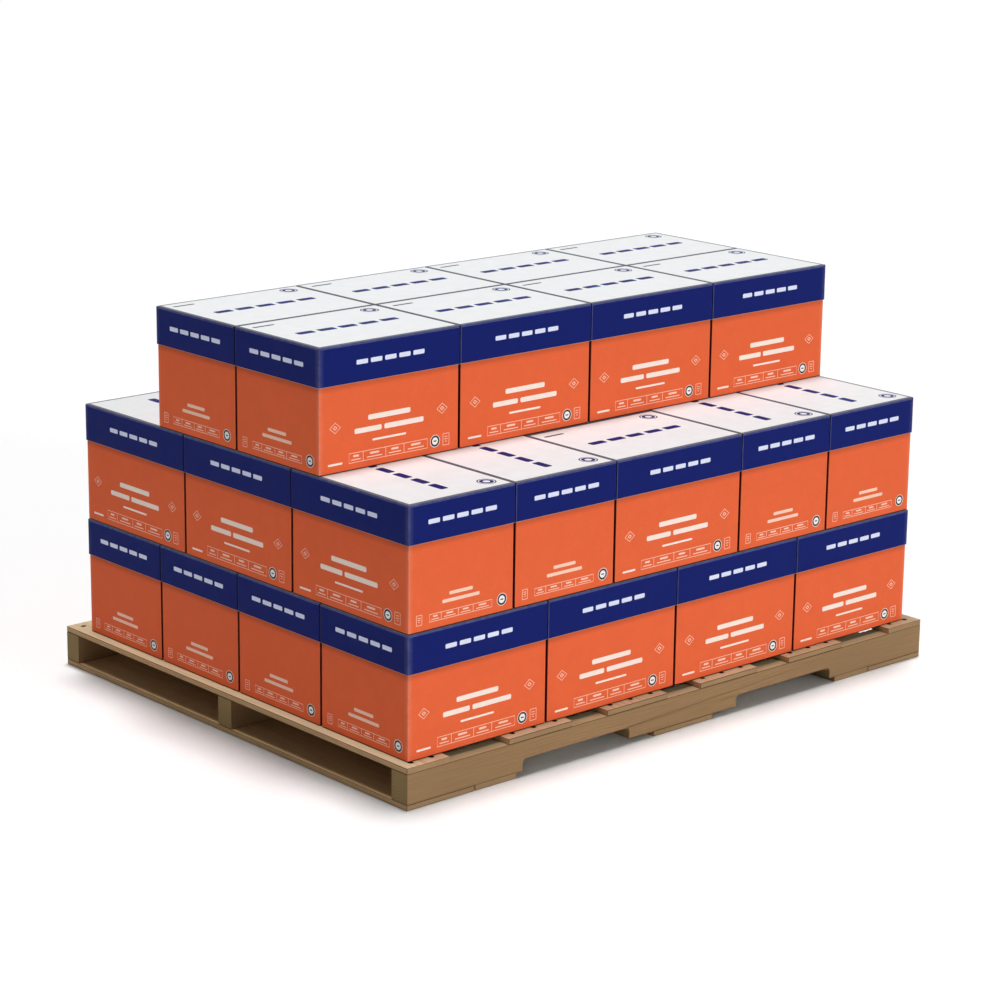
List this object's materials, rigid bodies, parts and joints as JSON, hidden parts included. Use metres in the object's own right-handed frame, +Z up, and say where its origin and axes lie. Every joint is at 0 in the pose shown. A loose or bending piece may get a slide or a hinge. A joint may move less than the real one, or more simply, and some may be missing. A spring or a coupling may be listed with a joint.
{
  "type": "pallet load of paper cartons",
  "caption": "Wooden stringer pallet carrying lidded cartons of copier paper, stacked and interlocked in three tiers, ready to be lifted with forks.",
  "frame": {"origin": "on the floor under the middle of the pallet", "axes": "+X along the stringers, +Y along the deck boards, +Z up"},
  "size_m": [1.219, 0.95, 0.694],
  "materials": {
    "sawn_pine": "matte",
    "packed_carton": "matte"
  },
  "bodies": {
    "root": {"bottom_end_board_left": "sawn_pine", "bottom_end_board_right": "sawn_pine", "bottom_inner_board_left": "sawn_pine", "bottom_inner_board_right": "sawn_pine", "bottom_middle_board": "sawn_pine", "carton_bottom_c1_r1": "packed_carton", "carton_bottom_c1_r2": "packed_carton", "carton_bottom_c1_r3": "packed_carton", "carton_bottom_c1_r4": "packed_carton", "carton_bottom_c2_r1": "packed_carton", "carton_bottom_c2_r2": "packed_carton", "carton_bottom_c2_r3": "packed_carton", "carton_bottom_c2_r4": "packed_carton", "carton_bottom_c3_r1": "packed_carton", "carton_bottom_c3_r2": "packed_carton", "carton_bottom_c3_r3": "packed_carton", "carton_bottom_c3_r4": "packed_carton", "carton_bottom_c4_r1": "packed_carton", "carton_bottom_c4_r2": "packed_carton", "carton_bottom_c4_r3": "packed_carton", "carton_bottom_c4_r4": "packed_carton", "carton_middle_c1_r1": "packed_carton", "carton_middle_c1_r2": "packed_carton", "carton_middle_c1_r3": "packed_carton", "carton_middle_c2_r1": "packed_carton", "carton_middle_c2_r2": "packed_carton", "carton_middle_c2_r3": "packed_carton", "carton_middle_c3_r1": "packed_carton", "carton_middle_c3_r2": "packed_carton", "carton_middle_c3_r3": "packed_carton", "carton_middle_c3_r4": "packed_carton", "carton_middle_c4_r1": "packed_carton", "carton_middle_c4_r2": "packed_carton", "carton_middle_c4_r3": "packed_carton", "carton_middle_c5_r1": "packed_carton", "carton_middle_c5_r2": "packed_carton", "carton_middle_c5_r3": "packed_carton", "carton_top_c1_r1": "packed_carton", "carton_top_c1_r2": "packed_carton", "carton_top_c2_r1": "packed_carton", "carton_top_c2_r2": "packed_carton", "carton_top_c3_r1": "packed_carton", "carton_top_c3_r2": "packed_carton", "carton_top_c4_r1": "packed_carton", "carton_top_c4_r2": "packed_carton", "stringer_back": "sawn_pine", "stringer_front": "sawn_pine", "stringer_middle": "sawn_pine", "top_board_1": "sawn_pine", "top_board_2": "sawn_pine", "top_board_3": "sawn_pine", "top_board_4": "sawn_pine", "top_end_board_left": "sawn_pine", "top_end_board_right": "sawn_pine"}
  },
  "joints": []
}
